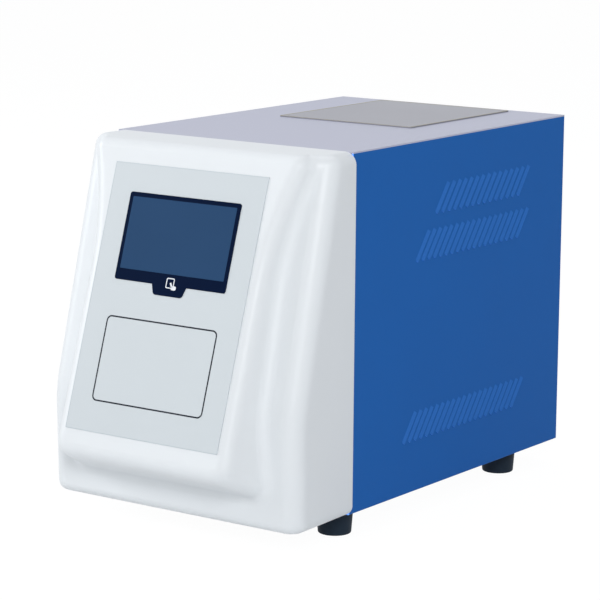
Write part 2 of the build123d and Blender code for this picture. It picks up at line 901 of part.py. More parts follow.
def fuse_drawer():
    """Drawer with a grip lip and two troughs for the fuses."""
    body = extrude(Rectangle(drawer_width, drawer_height), -drawer_depth)
    face = extrude(Rectangle(drawer_width, drawer_height), drawer_lip)
    grip = Pos(0, -drawer_height / 4, drawer_lip) * extrude(Rectangle(drawer_width / 2, 2), 1.2)
    drawer = body + face + grip
    for side in (-1, 1):
        trough = Rectangle(2 * fuse_radius + 1, drawer_height)
        trough = Pos(side * drawer_width / 4, drawer_height / 2, -1.5) * extrude(trough, -fuse_length)
        drawer = drawer - trough
    return inlet_plane() * (drawer_place() * drawer)


def fuse_tubes():
    pieces = []
    for side in (-1, 1):
        tube = Pos(side * drawer_width / 4, fuse_radius, -1.5) * extrude(Circle(fuse_radius), -fuse_length)
        pieces.append(inlet_plane() * (drawer_place() * tube))
    return group(pieces)


def inlet_screws():
    pieces = []
    for side in (-1, 1):
        at = (inlet_x + side * inlet_screw_pitch / 2, rear_y + inlet_flange_thickness, inlet_z())
        pieces.append(screw(at, (0, -1, 0), inlet_flange_thickness + sheet * 4))
    return group(pieces)


# Round sockets and the earth terminal

def socket_plane(x, height):
    origin = (x, rear_y, case_z + height)
    return Plane(origin=origin, x_dir=(-1, 0, 0), z_dir=(0, 1, 0))


def socket_shell(plane, radius, flange_radius, reach):
    """Threaded shell with a flange outside and a tail that takes the nut inside."""
    shell = extrude(Circle(flange_radius), socket_flange_thickness)
    shell += extrude(Circle(radius), reach)
    shell += extrude(Circle(radius), -sheet - socket_tail)
    bore = Pos(0, 0, -sheet - socket_tail) * extrude(
        Circle(radius - socket_wall), reach + sheet + socket_tail)
    return plane * (shell - bore)


def socket_insert(plane, radius):
    """Insulating core that holds the contacts, set back in the shell."""
    depth = sheet + socket_tail
    return plane * extrude(Circle(radius - socket_wall), -depth)


def socket_pins(plane, radius, reach, count, pin_radius):
    ring = (radius - socket_wall) * 0.55
    pieces = []
    for index in range(count):
        turn = math.radians(360 / count * (index + 0.5))
        at = Pos(ring * math.cos(turn), ring * math.sin(turn), 0)
        pieces.append(plane * (at * extrude(Circle(pin_radius), reach - socket_pin_recess)))
    return group(pieces)


def socket_nut(plane, radius):
    """Hexagon nut on the tail, inside the rear panel."""
    ring = RegularPolygon(radius + socket_nut_margin, 6) - Circle(radius)
    return plane * (Pos(0, 0, -sheet - socket_nut_thickness) * extrude(ring, socket_nut_thickness))


def output_plane():
    return socket_plane(output_x, output_centre_height)


def sensor_plane():
    return socket_plane(sensor_x, sensor_centre_height)


def earth_plane():
    return socket_plane(earth_x, earth_centre_height)


def earth_stud():
    length = earth_stud_reach + sheet + earth_nut_thickness
    start = -sheet - earth_nut_thickness
    stud = Pos(0, 0, start) * extrude(Circle(earth_stud_radius), length)
    head = Pos(0, 0, start) * extrude(RegularPolygon(earth_nut_radius, 6), earth_nut_thickness)
    return earth_plane() * (stud + head)


def earth_nut():
    ring = RegularPolygon(earth_nut_radius, 6) - Circle(earth_stud_radius)
    return earth_plane() * extrude(ring, earth_nut_thickness)


# Boards, magnetics and supply

def corner_spots(width, length):
    return [
        (side * (width / 2 - board_edge), end * (length / 2 - board_edge))
        for side in (-1, 1) for end in (-1, 1)
    ]


def control_plane(distance):
    """Plane behind the bulkhead, facing the rear."""
    height = case_z + control_board_height_above_floor
    origin = (0, bulkhead_back_y + distance, height)
    return Plane(origin=origin, x_dir=(-1, 0, 0), z_dir=(0, 1, 0))


def drilled(width, length):
    board = Rectangle(width, length)
    for x, y in corner_spots(width, length):
        board -= Pos(x, y) * Circle(screw_radius + screw_clearance)
    return board


def control_board():
    board = drilled(control_board_width, control_board_height)
    return control_plane(control_standoff) * extrude(board, board_thickness)


def control_chips():
    """Processor, relay row and connectors on the control board."""
    face = control_plane(control_standoff + board_thickness)
    parts = [
        (0, 8, 20, 20, 1.6), (-38, 18, 16, 28, 14), (36, 22, 24, 10, 9),
        (36, -22, 24, 10, 9), (-34, -24, 30, 8, 12), (4, -28, 14, 10, 4),
    ]
    pieces = []
    for x, y, width, length, height in parts:
        pieces.append(face * (Pos(x, y) * extrude(Rectangle(width, length), height)))
    return group(pieces)


def standoffs(plane, width, length, height):
    pieces = []
    for x, y in corner_spots(width, length):
        pieces.append(plane * (Pos(x, y) * extrude(
            RegularPolygon(standoff_radius, 6) - Circle(screw_radius), height)))
    return pieces


def board_standoffs():
    return group(standoffs(
        control_plane(0), control_board_width, control_board_height, control_standoff))


def driver_plane(height):
    """Plane above the pan, facing up, at the middle of the driver board."""
    y = seam_y + driver_board_setback + driver_board_length / 2
    return Plane(origin=(driver_board_x, y, floor_z + height), x_dir=(1, 0, 0), z_dir=(0, 0, 1))


def driver_standoffs():
    return group(standoffs(
        driver_plane(0), driver_board_width, driver_board_length, driver_standoff))


def driver_board():
    board = drilled(driver_board_width, driver_board_length)
    return driver_plane(driver_standoff) * extrude(board, board_thickness)


def board_screws():
    pieces = []
    top = driver_standoff + board_thickness
    for x, y in corner_spots(driver_board_width, driver_board_length):
        at = driver_plane(top).from_local_coords(Vector(x, y, 0))
        pieces.append(screw(at, (0, 0, -1), driver_standoff * 0.7))
    back = control_standoff + board_thickness
    for x, y in corner_spots(control_board_width, control_board_height):
        at = control_plane(back).from_local_coords(Vector(x, y, 0))
        pieces.append(screw(at, (0, -1, 0), control_standoff * 0.7))
    return group(pieces)


def heat_sink(side):
    """Extruded comb: an upright web with fins on the outer side."""
    web = Rectangle(sink_base, sink_length)
    pitch = (sink_length - sink_fin_thickness) / (sink_fin_count - 1)
    for index in range(sink_fin_count):
        y = -sink_length / 2 + sink_fin_thickness / 2 + index * pitch
        web += Pos(sink_base / 2 + sink_fin_length / 2, y) * Rectangle(sink_fin_length, sink_fin_thickness)
    sink = Pos(sink_spacing / 2, 0, 0) * extrude(web, sink_height)
    if side < 0:
        sink = sink.mirror(Plane.YZ)
    return driver_plane(driver_standoff + board_thickness) * sink


def power_transistors():
    """Flat packages held against the inner faces of the heat sinks."""
    face = driver_plane(driver_standoff + board_thickness)
    x = sink_spacing / 2 - sink_base / 2 - transistor_thickness / 2
    step = sink_length / (transistor_count + 1)
    pieces = []
    for side in (-1, 1):
        for index in range(transistor_count):
            y = -sink_length / 2 + step * (index + 1)
            body = Pos(side * x, y, 0) * extrude(
                Rectangle(transistor_thickness, transistor_width), transistor_height)
            pieces.append(face * body)
    return group(pieces)


def bulk_capacitors():
    face = driver_plane(driver_standoff + board_thickness)
    step = 2 * capacitor_radius + 3
    pieces = []
    for index in range(capacitor_count):
        y = (index - (capacitor_count - 1) / 2) * step
        can = Pos(0, y, 0) * extrude(Circle(capacitor_radius), capacitor_height)
        rim = can.edges().filter_by(GeomType.CIRCLE).sort_by(Axis.Z)[-1]
        pieces.append(face * fillet(rim, 1))
    return group(pieces)


def supply_module():
    """Enclosed mains supply with a terminal step at its front end."""
    body = extrude(Rectangle(supply_width, supply_length), supply_height)
    step = Pos(0, -supply_length / 2 + board_edge, supply_height / 2) * extrude(
        Rectangle(supply_width * 0.86, board_edge * 2), supply_height)
    y = seam_y + supply_setback + supply_length / 2
    return Pos(supply_x, y, floor_z) * (body - step)


def transformer_place():
    return Pos(transformer_x, seam_y + transformer_setback, floor_z)


def output_transformer_core():
    """Ferrite core: a frame with a round centre leg, standing on the pan."""
    window_w = core_width - 2 * core_leg
    window_h = core_height - 2 * core_leg
    frame = Rectangle(core_width, core_height) - Rectangle(window_w, window_h)
    upright = Plane(origin=(0, core_thickness / 2, core_height / 2), x_dir=(1, 0, 0), z_dir=(0, -1, 0))
    core = upright * extrude(frame, core_thickness)
    leg = Pos(0, 0, core_leg) * extrude(Circle(core_leg * 0.55), window_h)
    return transformer_place() * (core + leg)


def output_transformer_coil():
    window_h = core_height - 2 * core_leg
    ring = Circle(coil_radius) - Circle(core_leg * 0.55)
    return transformer_place() * (Pos(0, 0, core_leg) * extrude(ring, window_h))


def transformer_clamp():
    """Strap over the core with two feet on the pan."""
    outer = Rectangle(core_width + 2 * sheet, core_height + sheet)
    inner = Rectangle(core_width, core_height)
    strap = Pos(0, (core_height + sheet) / 2) * outer - Pos(0, core_height / 2) * inner
    for side in (-1, 1):
        strap += Pos(side * (core_width / 2 + flange / 2), sheet / 2) * Rectangle(flange, sheet)
    width = core_thickness * 0.6
    upright = Plane(origin=(0, width / 2, 0), x_dir=(1, 0, 0), z_dir=(0, -1, 0))
    return transformer_place() * (upright * extrude(strap, width))


def toroid_place():
    return Pos(toroid_x, seam_y + toroid_setback, floor_z + winding_build)


def tuning_inductor_core():
    ring = Circle(toroid_radius) - Circle(toroid_hole_radius)
    return toroid_place() * extrude(ring, toroid_height)


def tuning_inductor_coil():
    """Winding around the ring core, drawn as its outer form."""
    outer = Circle(toroid_radius + winding_build) - Circle(toroid_hole_radius - winding_build)
    shell = Pos(0, 0, -winding_build) * extrude(outer, toroid_height + 2 * winding_build)
    ring = Circle(toroid_radius) - Circle(toroid_hole_radius)
    return toroid_place() * (shell - extrude(ring, toroid_height))


pieces = {
    "front_bezel": front_bezel(),
    "front_label": front_label(),
    "display_window": display_window(),
    "lcd_module": lcd_module(),
    "display_bracket": display_bracket(),
    "display_screws": display_screws(),
    "side_panel_left": side_panel(-1),
    "side_panel_right": side_panel(1),
    "top_cover": top_cover(),
    "top_plate": top_plate(),
    "base_pan": base_pan(),
    "rear_panel": rear_panel(),
    "front_bulkhead": front_bulkhead(),
    "bezel_screws": bezel_screws(),
    "flange_screws": flange_screws(),
    "rear_screws": rear_screws(),
    "foot_front_left": foot(-1, foot_setbacks()[0]),
    "foot_front_right": foot(1, foot_setbacks()[0]),
    "foot_rear_left": foot(-1, foot_setbacks()[1]),
    "foot_rear_right": foot(1, foot_setbacks()[1]),
    "foot_screws": foot_screws(),
    "fan_frame": fan_frame(),
    "fan_rotor": fan_rotor(),
    "fan_guard": fan_guard(),
    "fan_screws": fan_screws(),
    "inlet_housing": inlet_housing(),
    "inlet_pins": inlet_pins(),
    "power_rocker": power_rocker(),
    "fuse_drawer": fuse_drawer(),
    "fuse_tubes": fuse_tubes(),
    "inlet_screws": inlet_screws(),
    "output_socket": socket_shell(output_plane(), output_shell_radius, output_flange_radius, output_reach),
    "output_insert": socket_insert(output_plane(), output_shell_radius),
    "output_pins": socket_pins(
        output_plane(), output_shell_radius, output_reach, output_pin_count, output_pin_radius),
    "output_nut": socket_nut(output_plane(), output_shell_radius),
    "sensor_socket": socket_shell(sensor_plane(), sensor_shell_radius, sensor_flange_radius, sensor_reach),
    "sensor_insert": socket_insert(sensor_plane(), sensor_shell_radius),
    "sensor_pins": socket_pins(
        sensor_plane(), sensor_shell_radius, sensor_reach, sensor_pin_count, sensor_pin_radius),
    "sensor_nut": socket_nut(sensor_plane(), sensor_shell_radius),
    "earth_stud": earth_stud(),
    "earth_nut": earth_nut(),
    "control_board": control_board(),
    "control_chips": control_chips(),
    "board_standoffs": board_standoffs(),
    "board_screws": board_screws(),
    "driver_board": driver_board(),
    "driver_standoffs": driver_standoffs(),
    "heat_sink_left": heat_sink(-1),
    "heat_sink_right": heat_sink(1),
    "power_transistors": power_transistors(),
    "bulk_capacitors": bulk_capacitors(),
    "supply_module": supply_module(),
    "output_transformer_core": output_transformer_core(),
    "output_transformer_coil": output_transformer_coil(),
    "transformer_clamp": transformer_clamp(),
    "tuning_inductor_core": tuning_inductor_core(),
    "tuning_inductor_coil": tuning_inductor_coil(),
}

os.makedirs("parts", exist_ok=True)
for name, piece in pieces.items():
    export_step(piece, f"parts/{name}.step")
print("seam_y", round(seam_y, 3), "rear_y", round(rear_y, 3), "pod origin", pod_plane.origin)
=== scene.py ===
# %% [markdown]
# A bench control unit for a probe sonicator: a blue powder coated case with slanted vents, a pale
# moulded front whose tilted pod carries a thin printed film and a small touch display, a pale
# cover and black rubber feet. The solid parts come packed from CAD as a fixed frame, so this
# script only gives them their finishes and adds what is printed or pressed on them.

import json
import math

import bmesh
import bpy
from mathutils import Matrix, Vector


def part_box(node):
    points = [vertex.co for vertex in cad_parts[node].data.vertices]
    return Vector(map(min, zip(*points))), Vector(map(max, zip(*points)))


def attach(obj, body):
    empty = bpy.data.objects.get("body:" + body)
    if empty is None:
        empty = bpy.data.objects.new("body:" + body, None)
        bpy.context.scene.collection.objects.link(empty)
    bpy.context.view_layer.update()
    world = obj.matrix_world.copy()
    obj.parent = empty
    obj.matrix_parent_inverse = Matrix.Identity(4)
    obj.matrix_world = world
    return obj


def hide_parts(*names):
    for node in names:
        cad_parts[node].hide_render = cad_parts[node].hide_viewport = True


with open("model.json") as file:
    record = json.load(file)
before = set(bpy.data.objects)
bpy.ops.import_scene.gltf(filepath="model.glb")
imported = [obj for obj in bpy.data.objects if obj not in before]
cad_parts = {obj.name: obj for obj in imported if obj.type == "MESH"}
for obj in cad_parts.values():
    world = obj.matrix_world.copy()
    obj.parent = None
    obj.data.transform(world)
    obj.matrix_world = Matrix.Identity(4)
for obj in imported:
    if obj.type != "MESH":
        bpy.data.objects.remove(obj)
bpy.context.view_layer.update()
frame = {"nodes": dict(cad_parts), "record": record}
nodes = frame["nodes"]
MM = 0.001

# %% [markdown]
# Paint, moulded plastic and cast metal all have a fine uneven skin. It could be painted as a
# picture, but noise on object coordinates needs no unwrapping and keeps its real size on every
# part. One shader group makes it, so each finish only sets its own colour, grain size and depth.

# %% Shared skin effect
CLOUDS_PER_METRE = 14.0
SKIN_INPUTS = (
    ("Colour", "NodeSocketColor", (0.5, 0.5, 0.5, 1.0)),
    ("Mottle", "NodeSocketFloat", 0.03),
    ("Roughness", "NodeSocketFloat", 0.4),
    ("Unevenness", "NodeSocketFloat", 0.05),
    ("Grain Size", "NodeSocketFloat", 0.4),
    ("Grain Depth", "NodeSocketFloat", 0.01),
)


def math_node(tree, kind, first, second):
    """Math node whose inputs are sockets or plain numbers."""
    node = tree.nodes.new("ShaderNodeMath")
    node.operation = kind
    for socket, value in zip(node.inputs, (first, second)):
        if isinstance(value, (int, float)):
            socket.default_value = value
        else:
            tree.links.new(value, socket)
    return node.outputs[0]


def make_skin_group():
    tree = bpy.data.node_groups.new("fine_skin", "ShaderNodeTree")
    for name, kind, value in SKIN_INPUTS:
        socket = tree.interface.new_socket(name, in_out="INPUT", socket_type=kind)
        socket.default_value = value
    for name, kind in (("Colour", "NodeSocketColor"), ("Roughness", "NodeSocketFloat"),
                       ("Normal", "NodeSocketVector")):
        tree.interface.new_socket(name, in_out="OUTPUT", socket_type=kind)
    given = tree.nodes.new("NodeGroupInput").outputs
    result = tree.nodes.new("NodeGroupOutput").inputs
    place = tree.nodes.new("ShaderNodeTexCoord").outputs["Object"]

    cloud = tree.nodes.new("ShaderNodeTexNoise")
    cloud.inputs["Scale"].default_value = CLOUDS_PER_METRE
    cloud.inputs["Detail"].default_value = 3.0
    tree.links.new(place, cloud.inputs["Vector"])
    shade = math_node(tree, "SUBTRACT", cloud.outputs["Fac"], 0.5)

    tone = tree.nodes.new("ShaderNodeHueSaturation")
    value = math_node(tree, "ADD", math_node(tree, "MULTIPLY", shade, given["Mottle"]), 1.0)
    tree.links.new(value, tone.inputs["Value"])
    tree.links.new(given["Colour"], tone.inputs["Color"])
    tree.links.new(tone.outputs["Color"], result["Colour"])

    rough = math_node(tree, "MULTIPLY", shade, given["Unevenness"])
    tree.links.new(math_node(tree, "ADD", rough, given["Roughness"]), result["Roughness"])

    grain = tree.nodes.new("ShaderNodeTexNoise")
    grain.inputs["Detail"].default_value = 2.0
    tree.links.new(place, grain.inputs["Vector"])
    grains = math_node(tree, "DIVIDE", 1.0 / MM, given["Grain Size"])
    tree.links.new(grains, grain.inputs["Scale"])
    bump = tree.nodes.new("ShaderNodeBump")
    bump.inputs["Strength"].default_value = 1.0
    height = math_node(tree, "MULTIPLY", grain.outputs["Fac"], given["Grain Depth"])
    bump.inputs["Distance"].default_value = MM
    tree.links.new(height, bump.inputs["Height"])
    tree.links.new(bump.outputs["Normal"], result["Normal"])
    return tree


fine_skin = make_skin_group()
print("skin group inputs", len(SKIN_INPUTS))

# %% [markdown]
# A finish is the skin group in front of a Principled shader. Metals are told apart by Metallic,
# and paint, film and glass by their gloss. Colours are written as they should look, in ordinary
# screen values, and turned to the linear values that a shader works in.

# %% Finish maker
COAT_ROUGHNESS = 0.08


def linear(red, green, blue):
    """Screen colour from 0 to 255 as linear values."""
    scaled = [value / 255 for value in (red, green, blue)]
    return [v / 12.92 if v <= 0.04045 else ((v + 0.055) / 1.055) ** 2.4 for v in scaled] + [1.0]


def finish(name, colour, rough=0.4, metal=0.0, mottle=0.04, grain=0.4, depth=0.01, gloss=0.5,
           coat=0.0):
    """Material with a fine skin, its grain in millimetres, and an optional clear coat."""
    material = bpy.data.materials.new(name)
    material.use_nodes = True
    tree = material.node_tree
    shader = tree.nodes["Principled BSDF"]
    skin = tree.nodes.new("ShaderNodeGroup")
    skin.name = "skin"
    skin.node_tree = fine_skin
    skin.inputs["Colour"].default_value = linear(*colour)
    skin.inputs["Mottle"].default_value = mottle
    skin.inputs["Roughness"].default_value = rough
    skin.inputs["Grain Size"].default_value = grain
    skin.inputs["Grain Depth"].default_value = depth
    shader.inputs["Metallic"].default_value = metal
    shader.inputs["Specular IOR Level"].default_value = gloss
    shader.inputs["Coat Weight"].default_value = coat
    shader.inputs["Coat Roughness"].default_value = COAT_ROUGHNESS
    tree.links.new(skin.outputs["Colour"], shader.inputs["Base Color"])
    tree.links.new(skin.outputs["Roughness"], shader.inputs["Roughness"])
    tree.links.new(skin.outputs["Normal"], shader.inputs["Normal"])
    return material


RECIPES = {
    "bezel_plastic": dict(colour=(226, 230, 233), rough=0.36, depth=0.004, grain=0.7,
                          mottle=0.02, gloss=0.3),
    "label_film": dict(colour=(200, 207, 211), rough=0.42, depth=0.002, mottle=0.02),
    "display_glass": dict(colour=(4, 20, 48), rough=0.3, depth=0.0005, grain=4, gloss=0.03),
    "blue_paint": dict(colour=(32, 98, 175), rough=0.5, depth=0.012, grain=0.9, mottle=0.06,
                       gloss=0.05),
    "pale_paint": dict(colour=(182, 184, 201), rough=0.45, depth=0.012, grain=0.9, mottle=0.04,
                       gloss=0.25),
    "plate_laminate": dict(colour=(143, 143, 152), rough=0.34, depth=0.001, mottle=0.02,
                           gloss=0.2),
    "zinc_sheet": dict(colour=(176, 178, 182), rough=0.34, metal=1.0, depth=0.003, mottle=0.14,
                       grain=3),
    "steel_screw": dict(colour=(168, 170, 174), rough=0.28, metal=1.0, depth=0.004, mottle=0.1),
    "black_rubber": dict(colour=(28, 41, 54), rough=0.62, depth=0.03, grain=0.6, mottle=0.12,
                         gloss=0.15),
    "black_plastic": dict(colour=(22, 23, 26), rough=0.38, depth=0.02, grain=0.5),
    "fan_plastic": dict(colour=(26, 27, 30), rough=0.42, depth=0.015, grain=0.6),
    "steel_wire": dict(colour=(186, 188, 192), rough=0.22, metal=1.0, depth=0.004),
    "tinned_brass": dict(colour=(206, 190, 142), rough=0.26, metal=1.0, depth=0.004),
    "nickel_shell": dict(colour=(198, 198, 200), rough=0.18, metal=1.0, depth=0.003),
    "insert_plastic": dict(colour=(34, 35, 38), rough=0.5, depth=0.02),
    "green_board": dict(colour=(20, 92, 54), rough=0.3, depth=0.01, coat=0.4, mottle=0.1),
    "chip_plastic": dict(colour=(30, 31, 34), rough=0.5, depth=0.02, grain=0.3),
    "sink_aluminium": dict(colour=(188, 190, 194), rough=0.32, metal=1.0, depth=0.006, grain=0.8),
    "capacitor_sleeve": dict(colour=(26, 34, 66), rough=0.24, depth=0.003, coat=0.4),
    "supply_case": dict(colour=(182, 184, 186), rough=0.36, metal=1.0, depth=0.006, mottle=0.12),
    "ferrite": dict(colour=(52, 53, 56), rough=0.6, depth=0.05, grain=0.7, mottle=0.2),
    "copper_winding": dict(colour=(186, 104, 58), rough=0.3, metal=1.0, depth=0.02),
    "fuse_glass": dict(colour=(226, 230, 232), rough=0.05, depth=0.0, grain=4, mottle=0.0),
    "rocker_plastic": dict(colour=(20, 20, 23), rough=0.2, depth=0.004, coat=0.3),
}
FINISHES = {name: finish(name, **values) for name, values in RECIPES.items()}
glass_shader = FINISHES["fuse_glass"].node_tree.nodes["Principled BSDF"]
glass_shader.inputs["Transmission Weight"].default_value = 0.9

for entry in frame["record"]["subparts"]:
    materials = nodes[entry["node"]].data.materials
    materials.clear()
    materials.append(FINISHES[entry["material_slot"]])
print("finishes", len(FINISHES))

# %% [markdown]
# Magnet wire lies in close turns, and the round sockets have a fine thread. Modelling each turn
# would be thousands of faces for lines under a millimetre apart, so a wave of bump stands for
# them: rings up the transformer's bobbin and along the socket shells, and spokes round the
# inductor's ring core.

# %% Wire turns and threads


def ripple(name, source, depth, axis=None, pitch=1.0, spokes=0, centre=(0, 0, 0)):
    """Copy of a finish with waves of bump, either along an axis or as spokes round a centre."""
    material = source.copy()
    material.name = name
    tree = material.node_tree
    mapping = tree.nodes.new("ShaderNodeMapping")
    mapping.inputs["Location"].default_value = [-value for value in centre]
    place = tree.nodes.new("ShaderNodeTexCoord").outputs["Object"]
    tree.links.new(place, mapping.inputs["Vector"])
    if spokes:
        turn = tree.nodes.new("ShaderNodeTexGradient")
        turn.gradient_type = "RADIAL"
        tree.links.new(mapping.outputs["Vector"], turn.inputs["Vector"])
        angle = math_node(tree, "MULTIPLY", turn.outputs["Fac"], spokes * math.tau)
    else:
        axes = tree.nodes.new("ShaderNodeSeparateXYZ")
        tree.links.new(mapping.outputs["Vector"], axes.inputs["Vector"])
        angle = math_node(tree, "MULTIPLY", axes.outputs[axis], math.tau / (pitch * MM))
    bump = tree.nodes.new("ShaderNodeBump")
    bump.inputs["Distance"].default_value = depth * MM
    tree.links.new(math_node(tree, "SINE", angle, 0.0), bump.inputs["Height"])
    tree.links.new(tree.nodes["skin"].outputs["Normal"], bump.inputs["Normal"])
    tree.links.new(bump.outputs["Normal"], tree.nodes["Principled BSDF"].inputs["Normal"])
    return material


def middle_of(node):
    low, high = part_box(node)
    return (Vector(low) + Vector(high)) / 2


WIRE_DEPTH = 0.4
nodes["output_transformer_coil"].data.materials[0] = ripple(
    "bobbin_winding", FINISHES["copper_winding"], WIRE_DEPTH, axis="Z", pitch=1.2)
nodes["tuning_inductor_coil"].data.materials[0] = ripple(
    "ring_winding", FINISHES["copper_winding"], WIRE_DEPTH, spokes=72,
    centre=middle_of("tuning_inductor_coil"))
threaded_shell = ripple("threaded_shell", FINISHES["nickel_shell"], 0.12, axis="Y", pitch=1.0)
for node in ("output_socket", "sensor_socket"):
    nodes[node].data.materials[0] = threaded_shell
threaded_brass = ripple("threaded_brass", FINISHES["tinned_brass"], 0.08, axis="Y", pitch=0.7)
nodes["earth_stud"].data.materials[0] = threaded_brass
print("rippled finishes on", 5, "parts")

# %% [markdown]
# The cut lips of the louvres look to the front and catch the light as fine pale strokes. That
# light
# is a painted highlight: a mask from the surface direction lifts the paint there.

# %% Painted highlight on the louvre lips


def paint_lip_highlight(name, source, gain):
    """Copy of a paint with a painted highlight: lighter on faces that look to the front of the
    unit.
    """
    material = source.copy()
    material.name = name
    tree = material.node_tree
    axes = tree.nodes.new("ShaderNodeSeparateXYZ")
    tree.links.new(tree.nodes.new("ShaderNodeTexCoord").outputs["Normal"], axes.inputs["Vector"])
    front = math_node(tree, "MAXIMUM", math_node(tree, "MULTIPLY", axes.outputs["Y"], -1.0), 0.0)
    mask = math_node(tree, "MULTIPLY", front, front)
    tone = tree.nodes.new("ShaderNodeHueSaturation")
    lift = math_node(tree, "MULTIPLY", mask, gain)
    tree.links.new(math_node(tree, "ADD", lift, 1.0), tone.inputs["Value"])
    fade = math_node(tree, "MULTIPLY", front, 0.12)
    tree.links.new(math_node(tree, "SUBTRACT", 1.0, fade), tone.inputs["Saturation"])
    tree.links.new(tree.nodes["skin"].outputs["Colour"], tone.inputs["Color"])
    tree.links.new(tone.outputs["Color"], tree.nodes["Principled BSDF"].inputs["Base Color"])
    return material


# Painted highlight on the front-facing louvre lips of both side panels.
lip_highlight_paint = paint_lip_highlight("lip_highlight_paint", FINISHES["blue_paint"], 3.0)
for node in ("side_panel_left", "side_panel_right"):
    nodes[node].data.materials[0] = lip_highlight_paint
print("pale lips on", 2, "panels")

# %% [markdown]
# What is printed on the film and the glass lies flat on the tilted pod. Each mark is drawn on the
# XY plane, given the thickness of a coat of ink, and carried to the pod by one matrix, whose
# columns are the pod's sideways, upward and outward directions.

# %% Where the pod lies
POD_TILT = math.radians(17.7)
POD_ORIGIN = Vector((0.0, -0.223894, 0.0642))
POD_UP = Vector((0.0, math.sin(POD_TILT), math.cos(POD_TILT)))
POD_OUT = Vector((0.0, -math.cos(POD_TILT), math.sin(POD_TILT)))
INK = 0.08


def pod_matrix(x, up, out):
    """From a flat drawing in millimetres to a place on the pod's face."""
    turn = Matrix((Vector((1, 0, 0)), POD_UP, POD_OUT)).transposed().to_4x4()
    place = POD_ORIGIN + Vector((x, 0, 0)) * MM + POD_UP * up * MM + POD_OUT * out * MM
    return Matrix.Translation(place) @ turn @ Matrix.Scale(MM, 4)


def height_over_pod(node):
    """How far a part stands out of the pod's face, in millimetres."""
    return max((v.co - POD_ORIGIN).dot(POD_OUT) for v in nodes[node].data.vertices) / MM


film_top = height_over_pod("front_label")
glass_top = height_over_pod("display_window")
print("film and glass stand", round(film_top, 2), round(glass_top, 2), "mm proud")

# %% [markdown]
# A printed panel or line with round corners starts as one square face. Its corners are bevelled as
# vertices, an inset leaves the line, and an extrusion gives it a body, so the mark is a closed
# solid with clean edges instead of a picture.

# %% Flat marks


def card(width, height, radius, segments=8):
    """Flat face with round corners, centred on the origin."""
    shape = bmesh.new()
    bmesh.ops.create_grid(shape, x_segments=1, y_segments=1, size=0.5)
    bmesh.ops.scale(shape, vec=(width, height, 1), verts=shape.verts)
    if radius:
        bmesh.ops.bevel(shape, geom=shape.verts[:], offset=radius, segments=segments, profile=0.5,
                        affect="VERTICES", material=-1)
    return shape


def leave_line(shape, width):
    """Only a border of this width stays of each face."""
    inner = shape.faces[:]
    bmesh.ops.inset_region(shape, faces=inner, thickness=width, use_boundary=True,
                           use_even_offset=True)
    bmesh.ops.delete(shape, geom=inner, context="FACES")


def thicken(shape, height):
    """Extrudes a flat shape upwards into a closed solid."""
    raised = bmesh.ops.extrude_face_region(shape, geom=shape.faces[:])["geom"]
    bmesh.ops.translate(shape, vec=(0, 0, height),
                        verts=[item for item in raised if isinstance(item, bmesh.types.BMVert)])
    bmesh.ops.recalc_face_normals(shape, faces=shape.faces[:])


def add_piece(name, shape, matrix, material, body="case"):
    """Turns a bmesh into an object that rides on a body."""
    bmesh.ops.transform(shape, matrix=matrix, verts=shape.verts)
    mesh = bpy.data.meshes.new(name)
    shape.to_mesh(mesh)
    shape.free()
    mesh.materials.append(material)
    piece = bpy.data.objects.new(name, mesh)
    bpy.context.scene.collection.objects.link(piece)
    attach(piece, body)
    return piece


# %% [markdown]
# The lit part of the display is a little smaller than its dark border, and sits higher in it. It
# is a slate blue when off, with the gloss of the cover glass.

# %% Display area
slate = finish("screen_slate", (43, 72, 107), 0.32, depth=0.0005, grain=4, mottle=0.1, gloss=0.03)
SCREEN_WIDTH, SCREEN_HEIGHT = 98.7, 55.6
SCREEN_UP = 174.5
screen = card(SCREEN_WIDTH, SCREEN_HEIGHT, 0.6, 2)
thicken(screen, INK)
add_piece("screen_area", screen, pod_matrix(0, SCREEN_UP, glass_top), slate)

# %% [markdown]
# The tab under the screen has a small printed sign for touch: a square frame and a pointing
# finger. Both are simple strips, so they stay sharp at any size.

# %% Touch sign
SIGN_SPOT = (0.8, 140.0, glass_top)
FINGER_SPOT = (2.2, 138.6, glass_top)
PALM_SPOT = (4.6, 136.6, glass_top)
white_ink = finish("white_ink", (226, 230, 236), 0.5, depth=0.001)
sign = card(7.6, 8.0, 1.2, 4)
leave_line(sign, 0.8)
thicken(sign, INK)
add_piece("touch_sign_frame", sign, pod_matrix(*SIGN_SPOT), white_ink)
finger = card(1.5, 4.4, 0.7, 4)
bmesh.ops.rotate(finger, cent=(0, 0, 0), matrix=Matrix.Rotation(math.radians(32), 3, "Z"),
                 verts=finger.verts)
thicken(finger, INK * 2)
add_piece("touch_sign_finger", finger, pod_matrix(*FINGER_SPOT), white_ink)
palm = card(4.8, 3.2, 1.3, 4)
thicken(palm, INK * 2)
add_piece("touch_sign_palm", palm, pod_matrix(*PALM_SPOT), white_ink)

# %% [markdown]
# Below the display a fine printed line frames an empty field. It is the same border trick with a
# wide corner.

# %% Printed field
dark_ink = finish("dark_ink", (22, 28, 40), 0.5, depth=0.001, gloss=0.2)
FIELD_WIDTH, FIELD_HEIGHT = 105.4, 66.2
FIELD_UP = 77.0
field = card(FIELD_WIDTH, FIELD_HEIGHT, 4.5, 8)
leave_line(field, 1.15)
thicken(field, INK)
add_piece("printed_field_line", field, pod_matrix(0, FIELD_UP, film_top), dark_ink)
